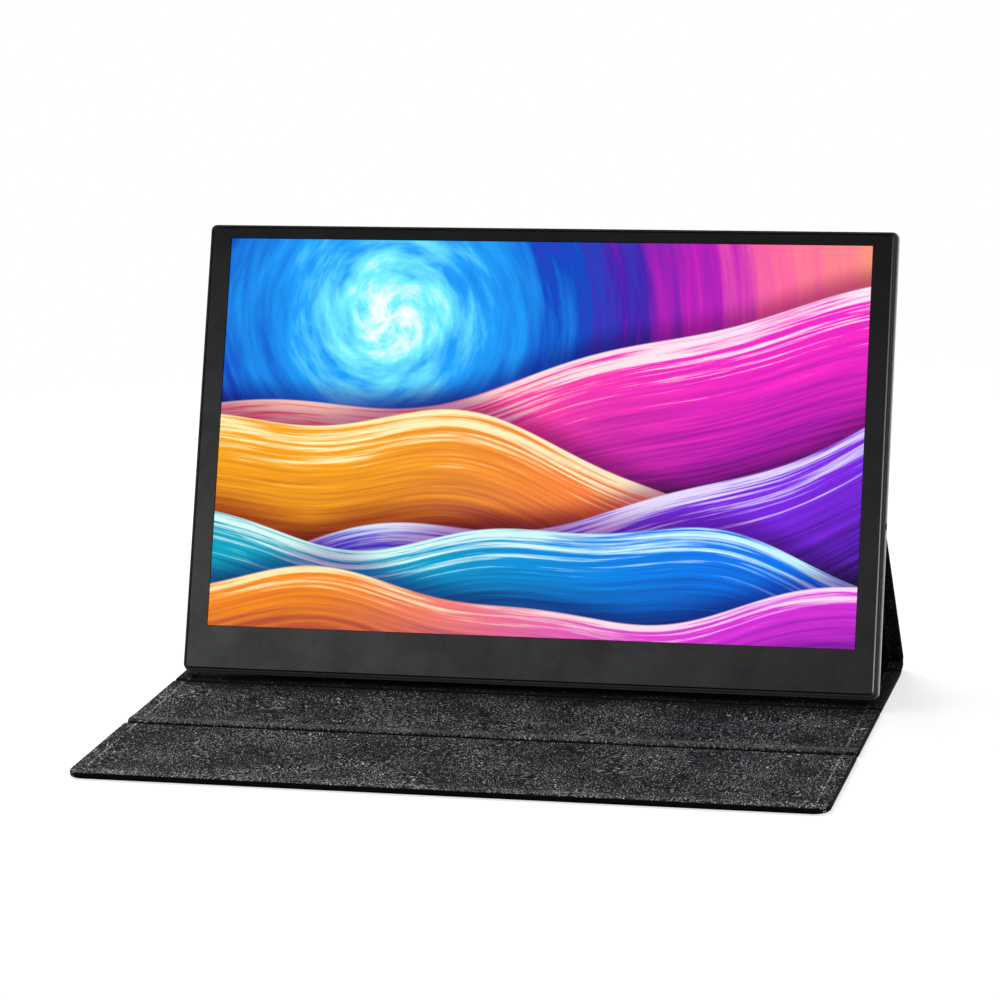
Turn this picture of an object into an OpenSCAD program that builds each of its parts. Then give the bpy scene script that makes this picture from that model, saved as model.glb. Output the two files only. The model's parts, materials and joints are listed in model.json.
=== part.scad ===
// Portable monitor with a folding leather cover, standing on its own cover.
// The cover is one hinged strip: flap, front panel, rear panel, spine, leg and back panel.
// Origin: on the table, under the middle of the monitor's lower front edge.
// +Y runs from the front to the back, +Z up.

/* [Screen] */
// Width of the lit picture
screen_w = 339; // [320:1:360]
// Height of the lit picture
screen_h = 204; // [185:1:220]
// Border beside the picture
side_border = 12.5; // [10:0.5:16]
// Border above the picture
top_border = 8; // [7:0.5:14]
// Border below the picture
bottom_border = 24.5; // [21.5:0.5:34]
// How far the monitor leans back from upright, in degrees
tilt = 20; // [14:1:26]

/* [Housing] */
// Corner radius of the monitor, seen from the front
corner_r = 3.5; // [3:0.5:8]
// Thickness of the housing's floor
floor_t = 1.2; // [1:0.1:2]
// Thickness of the housing's side wall
wall_t = 1.6; // [1.4:0.1:2]
// Height of the housing's side wall
wall_h = 4.5; // [4.4:0.1:5]
// Height of the wall's bright lower band
band_h = 3.2; // [2.6:0.1:3.8]
// Chamfer round the housing's rear edge
rear_chamfer = 0.8; // [0.3:0.1:1]
// Depth of the grooves round the monitor's side
groove_d = 0.8; // [0.4:0.1:1]
// How far the black frame stands in from the housing's side
frame_step = 1; // [0.7:0.1:1.2]
// Width of the black line round the bezel
black_line = 1; // [0.5:0.1:1.2]
// Height of the lip between the two grooves
lip_h = 0.8; // [0.4:0.1:1]
// Depth of the space for the circuit boards, behind the panel
bay_h = 3.7; // [3.6:0.1:6]
// Thickness of the bezel where it frames the picture
bezel_t = 0.8; // [0.6:0.1:1.2]
// How far the bezel's rim reaches back past that
bezel_rim = 0.6; // [0.4:0.1:0.7]
// Gap between the picture and the edge of the bezel's window
window_gap = 0.3; // [0.1:0.1:0.8]

/* [Display panel] */
// How far the glass reaches past the picture at the top and sides
glass_edge = 3; // [2:0.5:4]
// How far the glass reaches past the picture at the bottom
glass_foot = 5; // [5:0.5:6]
// Thickness of the glass
glass_t = 0.7; // [0.5:0.1:1]
// Thickness of the light guide
guide_t = 1.2; // [0.8:0.1:1.6]
// Thickness of each optical film
film_t = 0.25; // [0.2:0.05:0.4]
// Number of lamps in the backlight strip
lamp_count = 24; // [12:1:36]

/* [Electronics] */
// Thickness of the circuit boards
pcb_t = 0.8; // [0.6:0.1:1]
// Width of the main board
main_w = 80; // [70:1:120]
// Height of the main board
main_h = 100; // [98:1:110]
// Height of the main board's lower edge above the monitor's lower edge
main_y = 38; // [32:1:40]
// Length of the small board at the foot of the panel
driver_w = 140; // [100:1:160]
// Length of each loudspeaker
speaker_l = 34; // [24:1:40]
// Distance of each loudspeaker's middle from the centre line
speaker_x = 116; // [112:1:120]
// Height of the sound socket above the monitor's lower edge
jack_y = 87; // [80:1:110]
// Travel of the power button
button_travel = 0.4; // [0.2:0.1:0.5]
// Radius of the menu wheel
wheel_r = 4.5; // [4:0.1:5]
// How far the menu wheel stands out of the housing
wheel_out = 0.6; // [0.4:0.1:1]

/* [Cover] */
// How far the cover stands out past each side of the monitor
cover_margin = 2.5; // [0:0.5:4]
// How far the back panel stops short of each side of the monitor
back_inset = 2; // [1:0.5:6]
// Thickness of the leather skin
skin_t = 0.6; // [0.5:0.1:0.8]
// Thickness of the stiff board inside each panel
board_t = 1.8; // [1.6:0.1:2.4]
// Thickness of the inner lining
lining_t = 0.6; // [0.4:0.1:0.8]
// Width of leather turned over each edge
turn_w = 7; // [4:0.5:12]
// Corner radius of the cover
cover_r = 8; // [4:0.5:12]
// Depth of the front flap, the panel nearest the user
flap_l = 87; // [70:1:100]
// Depth of the front panel, between the flap and the monitor
front_l = 75; // [60:1:90]
// How far the crease lies in front of the monitor's lower edge
crease_lead = 4; // [3:0.5:8]
// Length of the leg
leg_l = 91.5; // [84:0.5:100]
// Width of the spine
spine_l = 14; // [12.5:0.5:16]
// Rise of the spine from the table, in degrees
spine_rise = 14; // [8:1:30]

/* [Hidden] */
$fn = 48;
eps = 0.01;                                   // how far a cut runs past a face

// Running and seating gaps
fit_gap = 0.1;                                // between a piece and the pocket it drops into
screw_gap = 0.05;                             // round a screw's shank
press_gap = 0.15;                             // round the power button
axle_gap = 0.05;                              // between the menu wheel and its axle
seat_gap = 0.05;                              // between the back panel's pad and the housing
rest_gap = 0.4;                               // under the monitor's lower rear edge
leg_gap = 0.4;                                // between the leg and the monitor when laid flat
fold_gap = 0.3;                               // between two panels at the end of a fold
skin_end = 0.15;                              // from the end of a skin to its crease line

// Monitor outline
body_w = screen_w + 2 * side_border;
body_h = bottom_border + screen_h + top_border;
side_x = body_w / 2;

// Levels from the monitor's rear face to its front face
plate_t = 0.3;                                // backplate of the display panel
mirror_t = 0.2;                               // reflector sheet
ledge_t = 0.3;                                // ledge that carries the glass over the films
tape_t = 0.1;                                 // adhesive between glass and bezel
plate_z = floor_t + bay_h;
mirror_z = plate_z + plate_t;
guide_z = mirror_z + mirror_t;
diffuser_z = guide_z + guide_t;
prism_z = diffuser_z + film_t;
ledge_z = prism_z + film_t;
glass_z = ledge_z + ledge_t;
tape_z = glass_z + glass_t;
face_z = tape_z + tape_t;
body_t = face_z + bezel_t;
rim_z = face_z - bezel_rim;
lip_z = (wall_h + rim_z - lip_h) / 2;
bezel_chamfer = 0.5;
bezel_in = frame_step + black_line;           // from the housing's side to the bezel's edge
ring_z = body_t - bezel_chamfer - 0.1;        // top of the black frame round the bezel

// Display panel
glass_w = screen_w + 2 * glass_edge;
glass_y = bottom_border - glass_foot;
glass_h = glass_foot + screen_h + glass_edge;
guide_edge = 1;                               // how far films and guide reach past the picture
guide_w = screen_w + 2 * guide_edge;
guide_y = bottom_border - guide_edge;
guide_h = screen_h + 2 * guide_edge;
strip_h = 2;                                  // room for the lamps under the light guide
frame_edge = 0.5;                             // how far the panel's frame reaches past the glass
skirt_t = 0.3;                                // upturned edge of the backplate
opening_gap = frame_edge + skirt_t + 0.3;     // from the glass to the mid frame's opening

// Bottom bay, between the mid frame's lower rail and the bar under the panel
rail_w = 6;
bar_h = 1.6;
bar_top = glass_y - opening_gap;
bar_y = bar_top - bar_h;
ribbon_w = 24;
ribbon_t = 0.15;
ribbon_x = [-0.31 * driver_w, 0, 0.31 * driver_w];
ribbon_fall = 2;                              // where the ribbons turn down, below the bar

// Boards, sockets and controls; heights are measured up the monitor from its lower edge
jack_h = 3.8;
socket_z = wall_h - jack_h / 2;               // middle of every socket, above the monitor's rear face
pcb_z = socket_z - pcb_t / 2;
pcb_top = pcb_z + pcb_t;
board_gap = 6;                                // from the housing's side to the main board
main_x = -side_x + board_gap;
usb_lower_y = main_y + 0.14 * main_h;
usb_upper_y = main_y + 0.3 * main_h;
hdmi_y = main_y + 0.5 * main_h;
pipe_y = main_y + 0.63 * main_h;
button_y = main_y + 0.74 * main_h;
wheel_y = main_y + 0.89 * main_h;
pipe_l = 3;
pipe_h = 1;
mouth_in = 0.3;                               // how far a socket's mouth lies inside the wall
socket_cut = 4;                               // height of the cuts that clear sockets out of a board
usb_w = 8.94;
usb_h = 3.16;
usb_d = 7.4;
usb_wall = 0.3;
tongue_t = 0.7;
hdmi_w = 11.2;
hdmi_h = 3.2;
hdmi_d = 8;
jack_w = 6.2;
jack_d = 12;
jack_r = 1.75;
button_l = 9;
button_w = 2;
button_out = 0.6;                             // how far the power button stands out
button_flange = 1;                            // rim that keeps the button in
flange_t = 0.7;
wheel_t = 2;
wheel_x = -side_x + wheel_r - wheel_out;
axle_r = 0.9;
switch_w = 4.6;
menu_foot_w = 6;
menu_foot_x = main_x + 12;
chip_h = 1.2;
chip_at = [[40, 50, 14], [58, 52, 8], [40, 70, 9], [24, 34, 6], [60, 72, 7], [58, 30, 5]];
spreader = [[30, 40], [66, 80]];              // lower and upper corner on the main board
spreader_t = 0.3;
cable_t = 0.3;
cable_w = 9;
cable_lap = 4;                                // how far a cable's end lies on a board
display_cable_y = main_y + 0.2 * main_h;      // upper edge of the cable where it leaves the main board
driver_y = rail_w + 1;
driver_h = bar_y - driver_y - 0.3;
driver_z = pcb_top + cable_t;
driver_chip = [10, 3, 0.8];
driver_chip_x = [-0.36 * driver_w, 0.16 * driver_w, 0.37 * driver_w];
speaker_y = wall_t + 0.2;
speaker_h = 11.5;
speaker_t = wall_h - floor_t - 0.2;
grille_slot = 1.6;
grille_pitch = 3.2;
grille_n = 8;
wire_w = 1.4;
wire_t = 0.8;
wire_end = 3;                                 // how far the wires reach onto the main board
wire_in = 14;                                 // from the main board's inner edge to where they meet it

// Screws
screw_r = 0.8;
head_r = 1.4;
head_t = 0.6;
boss_r = 1.9;
side_screw_y = [0.104 * body_h, 0.65 * body_h, 0.89 * body_h];
foot_screw_x = [-0.235 * body_w, 0, 0.235 * body_w];
frame_screw_in = bezel_in + head_r + 0.3;     // from the housing's side to a screw's axis
frame_boss_r = frame_screw_in - wall_t + 0.2; // its boss joins the wall
frame_screw_at = concat(
    [for (s = [-1, 1], y = side_screw_y) [s * (side_x - frame_screw_in), y]],
    [for (x = foot_screw_x) [x, frame_screw_in]]);
sink_t = 1.2;                                 // depth of the screw heads' counterbores
board_screw_in = 4;
board_screw_x = hdmi_d + 6;                   // clear of the sockets, from the main board's outer edge
jack_board_w = 20;
jack_board_x = side_x - board_gap - jack_board_w;
board_screw_at = concat(
    [for (x = [main_x + board_screw_x, main_x + main_w - board_screw_in],
        y = [main_y + board_screw_in, main_y + main_h - board_screw_in]) [x, y]],
    [for (s = [-1, 1]) [jack_board_x + board_screw_in, jack_y + s * (jack_board_w / 2 - 3)]]);
driver_post_x = [-0.26 * driver_w, 0.265 * driver_w];
driver_post_r = 1.8;
post_r = 3;
post_at = [for (x = [-0.1, 0.17, 0.41], y = [0.26, 0.8]) [x * body_w, y * body_h]];

// Cover
cover_t = skin_t + board_t + lining_t;
cover_w = body_w + 2 * cover_margin;
back_w = body_w - 2 * back_inset;
leg_slant = (cover_w - back_w) / 2 / leg_l;   // the leg narrows from the base's width to the back's
crease_z = skin_t;                            // the skin's inner face, which every fold turns about
back_gap = leg_gap;                           // spacer strip behind the monitor, as thick as the leg's gap
rear_edge = [body_t * cos(tilt), cover_t + rest_gap];
stand_a = 90 - tilt;                          // slope of the monitor
hinge_h = leg_l - 0.5;                        // height of the leg's hinge up the monitor's back
hinge_in = cover_t + back_gap - crease_z;
hinge_at = [
    rear_edge[0] + hinge_h * cos(stand_a) + hinge_in * sin(stand_a),
    rear_edge[1] + hinge_h * sin(stand_a) - hinge_in * cos(stand_a)];
leg_rise = hinge_at[1] - crease_z - spine_l * sin(spine_rise);
leg_run = sqrt(leg_l * leg_l - leg_rise * leg_rise);
spine_at = [hinge_at[0] + leg_run - spine_l * cos(spine_rise), crease_z];
leg_at = [hinge_at[0] + leg_run, hinge_at[1] - leg_rise];
leg_a = 90 + atan(leg_run / leg_rise);        // slope of the leg
rear_l = spine_at[0] + crease_lead;           // depth of the panel under the monitor
back_l = body_h - hinge_h - 3;                // the back panel ends 3 mm below the monitor's top
front_fold = 55;                              // how far the front panel lifts
flap_fold = 95;                               // how far the flap lifts from the front panel

// How far a panel's thick part, or its skin, stays back from a crease that folds inward or outward
function setback(a) = (cover_t - crease_z) * tan(a / 2) + fold_gap;
function skin_back(a) = crease_z * tan(a / 2) + skin_end;

front_back = setback(front_fold);
flap_back = setback(flap_fold);
spine_back = setback(spine_rise);
leg_back = setback(leg_a - spine_rise);
hinge_end = skin_back(leg_a - stand_a);
hinge_back = hinge_end + fold_gap;
skin_tone = "#2b2b2d";
lining_tone = "#343436";
board_tone = "#8d7a5c";

// Magnets
magnet_t = 1.2;
magnet_size = [24, 8];
magnet_z = skin_t + (board_t - magnet_t) / 2;
back_magnet_x = [for (k = [-0.36, -0.125, 0.125, 0.36]) k * back_w];
back_magnet_y = [hinge_h + 0.4 * back_l, hinge_h + 0.83 * back_l];
panel_magnet_y = [for (y = back_magnet_y) y - hinge_h];
rear_magnet_x = [-0.275 * cover_w, 0.275 * cover_w];
flap_magnet_x = [for (k = [-0.33, -0.11, 0.11, 0.33]) k * cover_w];
edge_in = turn_w + magnet_size[1] / 2;        // from a panel's edge to the middle of a magnet

// ---------------------------------------------------------------- places

module on_monitor() {
    translate([0, rear_edge[0], rear_edge[1]]) rotate([stand_a, 0, 0]) children();
}

module on_back() {
    translate([0, hinge_at[0], hinge_at[1]]) rotate([stand_a, 0, 0]) translate([0, 0, -crease_z]) children();
}

module on_leg() {
    translate([0, leg_at[0], leg_at[1]]) rotate([leg_a, 0, 0]) translate([0, 0, -crease_z]) children();
}

module on_spine() {
    translate([0, spine_at[0], spine_at[1]]) rotate([spine_rise, 0, 0])
        translate([0, 0, -crease_z]) children();
}

module on_rear() {
    translate([0, -crease_lead, 0]) children();
}

module on_front() {
    translate([0, -crease_lead, 0]) rotate(180) children();
}

module on_flap() {
    translate([0, -crease_lead - front_l, 0]) rotate(180) children();
}

// ---------------------------------------------------------------- shapes

// Rectangle from x0 to x1 and y0 to y1
module block2(x0, x1, y0, y1) {
    translate([x0, y0]) square([x1 - x0, y1 - y0]);
}

// Box on the same corners, from z0 to z1
module block(x0, x1, y0, y1, z0, z1) {
    translate([x0, y0, z0]) cube([x1 - x0, y1 - y0, z1 - z0]);
}

// Round-cornered rectangle
module rounded(x0, x1, y0, y1, r) {
    block2(x0 + r, x1 - r, y0, y1);
    block2(x0, x1, y0 + r, y1 - r);
    for (x = [x0 + r, x1 - r], y = [y0 + r, y1 - r]) translate([x, y]) circle(r);
}

// Outline of the monitor, drawn in by a distance
module outline(inset = 0) {
    rounded(-side_x + inset, side_x - inset, inset, body_h - inset, corner_r - inset / 2);
}

// The monitor's outline as a plate from z0 to z1
module outline_plate(z0, z1, inset = 0) {
    translate([0, 0, z0]) linear_extrude(z1 - z0) outline(inset);
}

// Outline of the glass, grown by a distance
module glass_outline(grow = 0) {
    block2(-glass_w / 2 - grow, glass_w / 2 + grow, glass_y - grow, glass_y + glass_h + grow);
}

// Slot with round ends, w long and h high, run along X from x0 to x1 at a height up the side
module side_slot(x0, x1, y, w, h, z = socket_z) {
    translate([x0, y, z]) rotate([90, 0, 90]) linear_extrude(x1 - x0) {
        square([w - h, h], center = true);
        for (s = [-1, 1]) translate([s * (w - h) / 2, 0]) circle(h / 2);
    }
}

// Box on the left wall, from x0 to x1
module side_box(x0, x1, y, w, h, z = socket_z) {
    block(x0, x1, y - w / 2, y + w / 2, z - h / 2, z + h / 2);
}

// ---------------------------------------------------------------- monitor shells

module front_bezel() {
    color("#3a3a3b") on_monitor() difference() {
        union() {
            outline_plate(rim_z, body_t - bezel_chamfer, bezel_in);
            hull() {
                outline_plate(body_t - bezel_chamfer - eps, body_t - bezel_chamfer, bezel_in);
                outline_plate(body_t - eps, body_t, bezel_in + bezel_chamfer);
            }
        }
        translate([0, 0, rim_z - eps]) linear_extrude(bezel_rim + eps) glass_outline(2 * fit_gap);
        translate([0, 0, rim_z - eps]) linear_extrude(body_t) window();
    }
}

module window() {
    block2(-screen_w / 2 - window_gap, screen_w / 2 + window_gap,
        bottom_border - window_gap, bottom_border + screen_h + window_gap);
}

module mid_frame() {
    color("#161617") on_monitor() difference() {
        union() {
            outline_plate(wall_h, lip_z, frame_step);
            outline_plate(lip_z, lip_z + lip_h, frame_step - groove_d / 2);
            outline_plate(lip_z + lip_h, ring_z, frame_step);
        }
        outline_plate(rim_z, body_t, bezel_in - fit_gap);
        translate([0, 0, wall_h - eps]) linear_extrude(body_t) glass_outline(opening_gap);
        translate([0, 0, wall_h - eps]) linear_extrude(body_t)
            block2(-side_x + rail_w, side_x - rail_w, rail_w, bar_y);
        for (x = ribbon_x) block(x - ribbon_w / 2 - 1, x + ribbon_w / 2 + 1, bar_y - 1, bar_top + 1,
            mirror_z, body_t);
        for (p = frame_screw_at) translate([p[0], p[1], 0]) {
            cylinder(h = body_t, r = screw_r + screw_gap);
            translate([0, 0, rim_z - sink_t]) cylinder(h = body_t, r = head_r + fit_gap);
        }
    }
}

module rear_housing() {
    color("#a9aaac") on_monitor() difference() {
        union() {
            difference() {
                union() {
                    hull() {
                        outline_plate(0, eps, rear_chamfer);
                        outline_plate(rear_chamfer, rear_chamfer + eps);
                    }
                    outline_plate(rear_chamfer, band_h);
                    outline_plate(band_h, wall_h, groove_d / 2);
                }
                outline_plate(floor_t, body_t, wall_t);
            }
            for (p = frame_screw_at) post(p, frame_boss_r, wall_h);
            for (p = board_screw_at) post(p, boss_r, pcb_z);
            for (p = post_at) post(p, post_r, plate_z);
            for (x = driver_post_x) post([x, driver_y + driver_h / 2], driver_post_r, driver_z);
        }
        for (p = concat(frame_screw_at, board_screw_at)) translate([p[0], p[1], floor_t / 2])
            cylinder(h = body_t, r = screw_r + screw_gap);
        socket_cuts();
        for (s = [-1, 1]) grille_cuts(s * speaker_x);
    }
}

// Post on the housing's floor, up to a level
module post(p, r, top) {
    translate([p[0], p[1], floor_t - eps]) cylinder(h = top - floor_t + eps, r = r);
}

// Openings in the housing for sockets and controls, and the thin floor under the tall ones
module socket_cuts() {
    out = -side_x - 1;
    for (y = [usb_lower_y, usb_upper_y]) {
        side_slot(out, -side_x + usb_d + 1, y, usb_w + 2 * fit_gap, usb_h + 2 * fit_gap);
    }
    side_box(out, -side_x + hdmi_d + 1, hdmi_y, hdmi_w + 2 * fit_gap, hdmi_h + 2 * fit_gap);
    side_slot(out, -side_x + wall_t + 1, button_y, button_l + 2 * press_gap, button_w + 2 * press_gap);
    side_box(out, -side_x + wall_t + 1, wheel_y, 2 * wheel_chord() + 1, wheel_t + 0.6);
    side_slot(out, -side_x + wall_t + 1, pipe_y, pipe_l + 2 * fit_gap, pipe_h + 2 * fit_gap);
    translate([side_x - wall_t - 1, jack_y, socket_z]) rotate([0, 90, 0])
        cylinder(h = wall_t + 2, r = jack_r + fit_gap);
    side_box(side_x - wall_t - jack_d, side_x - wall_t, jack_y, jack_w + 2 * fit_gap, jack_h + 2 * fit_gap);
}

// Half the height of the menu wheel's cut through the outer and inner face of the wall
function wheel_chord() = sqrt(pow(wheel_r, 2) - pow(max(0, wheel_r - wheel_out - wall_t), 2));

module grille_cuts(x) {
    for (i = [0 : grille_n - 1]) {
        sx = x + (i - (grille_n - 1) / 2) * grille_pitch;
        block(sx - grille_slot / 2, sx + grille_slot / 2, -1, wall_t + eps, floor_t + 0.2, band_h - 0.3);
    }
}

// ---------------------------------------------------------------- display panel

module bezel_tape() {
    color("#111111") on_monitor() translate([0, 0, tape_z]) linear_extrude(tape_t) difference() {
        glass_outline();
        window();
    }
}

module lcd_glass() {
    color("#1c2a6b") on_monitor() translate([0, 0, glass_z]) linear_extrude(glass_t) glass_outline();
}

module film(z, t, tone) {
    color(tone) on_monitor()
        block(-guide_w / 2, guide_w / 2, guide_y, guide_y + guide_h, z, z + t);
}

module prism_film() film(prism_z, film_t, "#e8edf2");

module diffuser_film() film(diffuser_z, film_t, "#f4f6f8");

module light_guide() film(guide_z, guide_t, "#dfeef5");

module reflector_sheet() {
    color("#ffffff") on_monitor()
        block(-guide_w / 2, guide_w / 2, guide_y - strip_h, guide_y + guide_h, mirror_z, guide_z);
}

module led_strip() {
    lamp_pitch = guide_w / lamp_count;
    lamp_w = 0.6 * lamp_pitch;
    color("#f2e9a8") on_monitor() {
        block(-guide_w / 2, guide_w / 2, guide_y - strip_h, guide_y - fit_gap, guide_z, guide_z + 0.3);
        for (i = [0 : lamp_count - 1]) {
            x = (i - (lamp_count - 1) / 2) * lamp_pitch;
            block(x - lamp_w / 2, x + lamp_w / 2, guide_y - strip_h + 0.5, guide_y - fit_gap,
                guide_z + 0.2, diffuser_z);
        }
    }
}

module panel_frame() {
    color("#f1f1ee") on_monitor() difference() {
        translate([0, 0, mirror_z]) linear_extrude(glass_z - mirror_z) glass_outline(frame_edge);
        block(-guide_w / 2 - fit_gap, guide_w / 2 + fit_gap, guide_y - strip_h - fit_gap,
            guide_y + guide_h + fit_gap, 0, ledge_z);
        translate([0, 0, mirror_z]) linear_extrude(body_t) window();
    }
}

module panel_backplate() {
    edge = frame_edge + fit_gap;
    color("#b9bcc0") on_monitor() {
        translate([0, 0, plate_z]) linear_extrude(plate_t) glass_outline(edge + skirt_t);
        translate([0, 0, mirror_z]) linear_extrude(guide_t) difference() {
            glass_outline(edge + skirt_t);
            glass_outline(edge);
        }
    }
}

module driver_board() {
    color("#1f5a34") on_monitor() {
        block(-driver_w / 2, driver_w / 2, driver_y, driver_y + driver_h, driver_z, driver_z + pcb_t);
        for (x = driver_chip_x) translate([x, driver_y + 1, driver_z])
            block(-driver_chip[0] / 2, driver_chip[0] / 2, 0, driver_chip[1], -driver_chip[2], eps);
    }
}

// Ribbons from the foot of the glass, over the bar and down to the driver board
module glass_ribbons() {
    turn_y = bar_y - ribbon_fall;
    color("#c98a2d") on_monitor() for (x = ribbon_x) {
        block(x - ribbon_w / 2, x + ribbon_w / 2, turn_y, glass_y, glass_z, glass_z + ribbon_t);
        block(x - ribbon_w / 2, x + ribbon_w / 2, turn_y, turn_y + ribbon_t,
            driver_z + pcb_t, glass_z + ribbon_t);
    }
}

// ---------------------------------------------------------------- electronics

module main_board() {
    color("#1d4f38") on_monitor() difference() {
        block(main_x, main_x + main_w, main_y, main_y + main_h, pcb_z, pcb_top);
        for (y = [usb_lower_y, usb_upper_y])
            side_box(-side_x, -side_x + mouth_in + usb_d + fit_gap, y, usb_w + 2 * fit_gap, socket_cut);
        side_box(-side_x, -side_x + mouth_in + hdmi_d + fit_gap, hdmi_y, hdmi_w + 2 * fit_gap, socket_cut);
        side_box(-side_x, wheel_x + wheel_r + 0.5, wheel_y, 2 * wheel_r + 1, socket_cut);
        for (p = board_screw_at) translate([p[0], p[1], 0]) cylinder(h = body_t, r = screw_r + screw_gap);
    }
}

module board_chips() {
    color("#202123") on_monitor() {
        for (c = chip_at) translate([main_x + c[0], main_y + c[1], pcb_top])
            block(-c[2] / 2, c[2] / 2, -c[2] / 2, c[2] / 2, 0, chip_h);
    }
}

// Sheet over the three hottest chips
module heat_spreader() {
    color("#8f9194") on_monitor() translate([main_x, main_y, pcb_top + chip_h])
        block(spreader[0][0], spreader[1][0], spreader[0][1], spreader[1][1], 0, spreader_t);
}

module usb_c_port(y) {
    x0 = -side_x + mouth_in;
    color("#c9cbce") on_monitor() {
        difference() {
            side_slot(x0, x0 + usb_d, y, usb_w, usb_h);
            side_slot(x0 - 1, x0 + usb_d - 0.6, y, usb_w - 2 * usb_wall, usb_h - 2 * usb_wall);
        }
        side_box(x0 + 1, x0 + usb_d - 0.3, y, usb_w - 2.3, tongue_t);
    }
}

module usb_c_port_lower() usb_c_port(usb_lower_y);

module usb_c_port_upper() usb_c_port(usb_upper_y);

module mini_hdmi_port() {
    x0 = -side_x + mouth_in;
    color("#c9cbce") on_monitor() {
        difference() {
            side_box(x0, x0 + hdmi_d, hdmi_y, hdmi_w, hdmi_h);
            side_box(x0 - 1, x0 + hdmi_d - 0.6, hdmi_y, hdmi_w - 2 * usb_wall, hdmi_h - 2 * usb_wall);
        }
        side_box(x0 + 1, x0 + hdmi_d - 0.3, hdmi_y, hdmi_w - 3, tongue_t);
    }
}

module audio_jack() {
    x1 = side_x - wall_t;
    color("#191919") on_monitor() difference() {
        side_box(x1 - jack_d, x1 - fit_gap, jack_y, jack_w, jack_h);
        translate([x1 - jack_d + 1, jack_y, socket_z]) rotate([0, 90, 0]) cylinder(h = jack_d, r = jack_r);
    }
}

module audio_board() {
    color("#1d4f38") on_monitor() difference() {
        block(jack_board_x, jack_board_x + jack_board_w, jack_y - jack_board_w / 2, jack_y + jack_board_w / 2,
            pcb_z, pcb_top);
        for (p = board_screw_at) translate([p[0], p[1], 0]) cylinder(h = body_t, r = screw_r + screw_gap);
        side_box(side_x - wall_t - jack_d - fit_gap, side_x, jack_y, jack_w + 2 * fit_gap, socket_cut);
    }
}

// Flat cable from the sound board across to the main board
module audio_cable() {
    color("#d9d3c4") on_monitor() block(main_x + main_w - cable_lap, jack_board_x + cable_lap,
        jack_y - cable_w / 4, jack_y + cable_w / 4, pcb_top, pcb_top + cable_t);
}

// Flat cable from the main board down to the driver board, which lies on its end
module display_cable() {
    x = -driver_w / 2 + cable_lap;
    color("#2b2b2d") on_monitor() translate([0, 0, pcb_top]) linear_extrude(cable_t) {
        block2(main_x + main_w - cable_lap, x, display_cable_y - cable_w, display_cable_y);
        block2(x - cable_w, x, driver_y + 1, display_cable_y);
        block2(x - cable_w, x + cable_lap, driver_y + 1, driver_y + driver_h - 1);
    }
}

module power_switch() {
    x0 = -side_x + wall_t + fit_gap + flange_t + button_travel + 0.1;
    color("#2a2a2c") on_monitor()
        block(x0, main_x + 3, button_y - switch_w / 2, button_y + switch_w / 2, pcb_top, wall_h - fit_gap);
}

module power_button() {
    x0 = -side_x - button_out;
    x1 = -side_x + wall_t + fit_gap;
    color("#2b2b2d") on_monitor() {
        side_slot(x0, x1 + flange_t, button_y, button_l, button_w);
        side_slot(x1, x1 + flange_t, button_y, button_l + 2 * button_flange, button_w + 0.6);
    }
}

module menu_switch() {
    y0 = wheel_y - menu_foot_w / 2;
    y1 = wheel_y + menu_foot_w / 2;
    color("#2a2a2c") on_monitor() {
        block(wheel_x - 2, menu_foot_x, y0, y1, floor_t, socket_z - wheel_t / 2 - fit_gap);
        block(wheel_x + wheel_r + 0.6, menu_foot_x, y0, y1, floor_t, pcb_z);
        translate([wheel_x, wheel_y, floor_t])
            cylinder(h = socket_z + wheel_t / 2 + 0.3 - floor_t, r = axle_r);
    }
}

module menu_wheel() {
    notch_r = 0.35;
    notches = 36;
    color("#2b2b2d") on_monitor() translate([wheel_x, wheel_y, socket_z - wheel_t / 2]) difference() {
        cylinder(h = wheel_t, r = wheel_r);
        translate([0, 0, -eps]) cylinder(h = wheel_t + 2 * eps, r = axle_r + axle_gap);
        for (i = [0 : notches - 1]) rotate(i * 360 / notches) translate([wheel_r + notch_r / 2, 0, -eps])
            cylinder(h = wheel_t + 2 * eps, r = notch_r, $fn = 16);
    }
}

module led_light_pipe() {
    color("#dfe7ea") on_monitor() side_slot(-side_x, main_x, pipe_y, pipe_l, pipe_h);
}

module speaker(x) {
    color("#232326") on_monitor() {
        block(x - speaker_l / 2, x + speaker_l / 2, speaker_y, speaker_y + speaker_h,
            floor_t, floor_t + speaker_t);
    }
}

module left_speaker() speaker(-speaker_x);

module right_speaker() speaker(speaker_x);

// Wires from each loudspeaker, along the foot of the housing, up to the main board.
// The left one runs below the right one, and meets the board further out.
module speaker_wires() {
    up_x = main_x + main_w - wire_in;
    top = speaker_y + speaker_h;
    color("#a33a32") on_monitor() for (s = [-1, 1]) {
        x = s * (speaker_x - speaker_l / 2 + wire_w);
        y = bar_top + 3 + (s + 1) * wire_w;
        rise_x = up_x + s * 2 * wire_w;
        block(x - wire_w / 2, x + wire_w / 2, top, y + wire_w, floor_t, floor_t + wire_t);
        block(min(x, rise_x) - wire_w / 2, max(x, rise_x) + wire_w / 2, y, y + wire_w,
            floor_t, floor_t + wire_t);
        block(rise_x - wire_w / 2, rise_x + wire_w / 2, y, main_y + wire_end, floor_t, floor_t + wire_t);
        block(rise_x - wire_w / 2, rise_x + wire_w / 2, main_y + 1, main_y + wire_end, floor_t, pcb_z);
    }
}

// ---------------------------------------------------------------- fasteners and magnets

module screw(x, y, seat, tip) {
    translate([x, y, seat]) cylinder(h = head_t, r = head_r);
    translate([x, y, tip]) cylinder(h = seat - tip + eps, r = screw_r);
}

module frame_screws() {
    color("#3d3e41") on_monitor() for (p = frame_screw_at) screw(p[0], p[1], rim_z - sink_t, floor_t);
}

module board_screws() {
    color("#8b8d90") on_monitor() for (p = board_screw_at) screw(p[0], p[1], pcb_top, floor_t);
}

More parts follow.
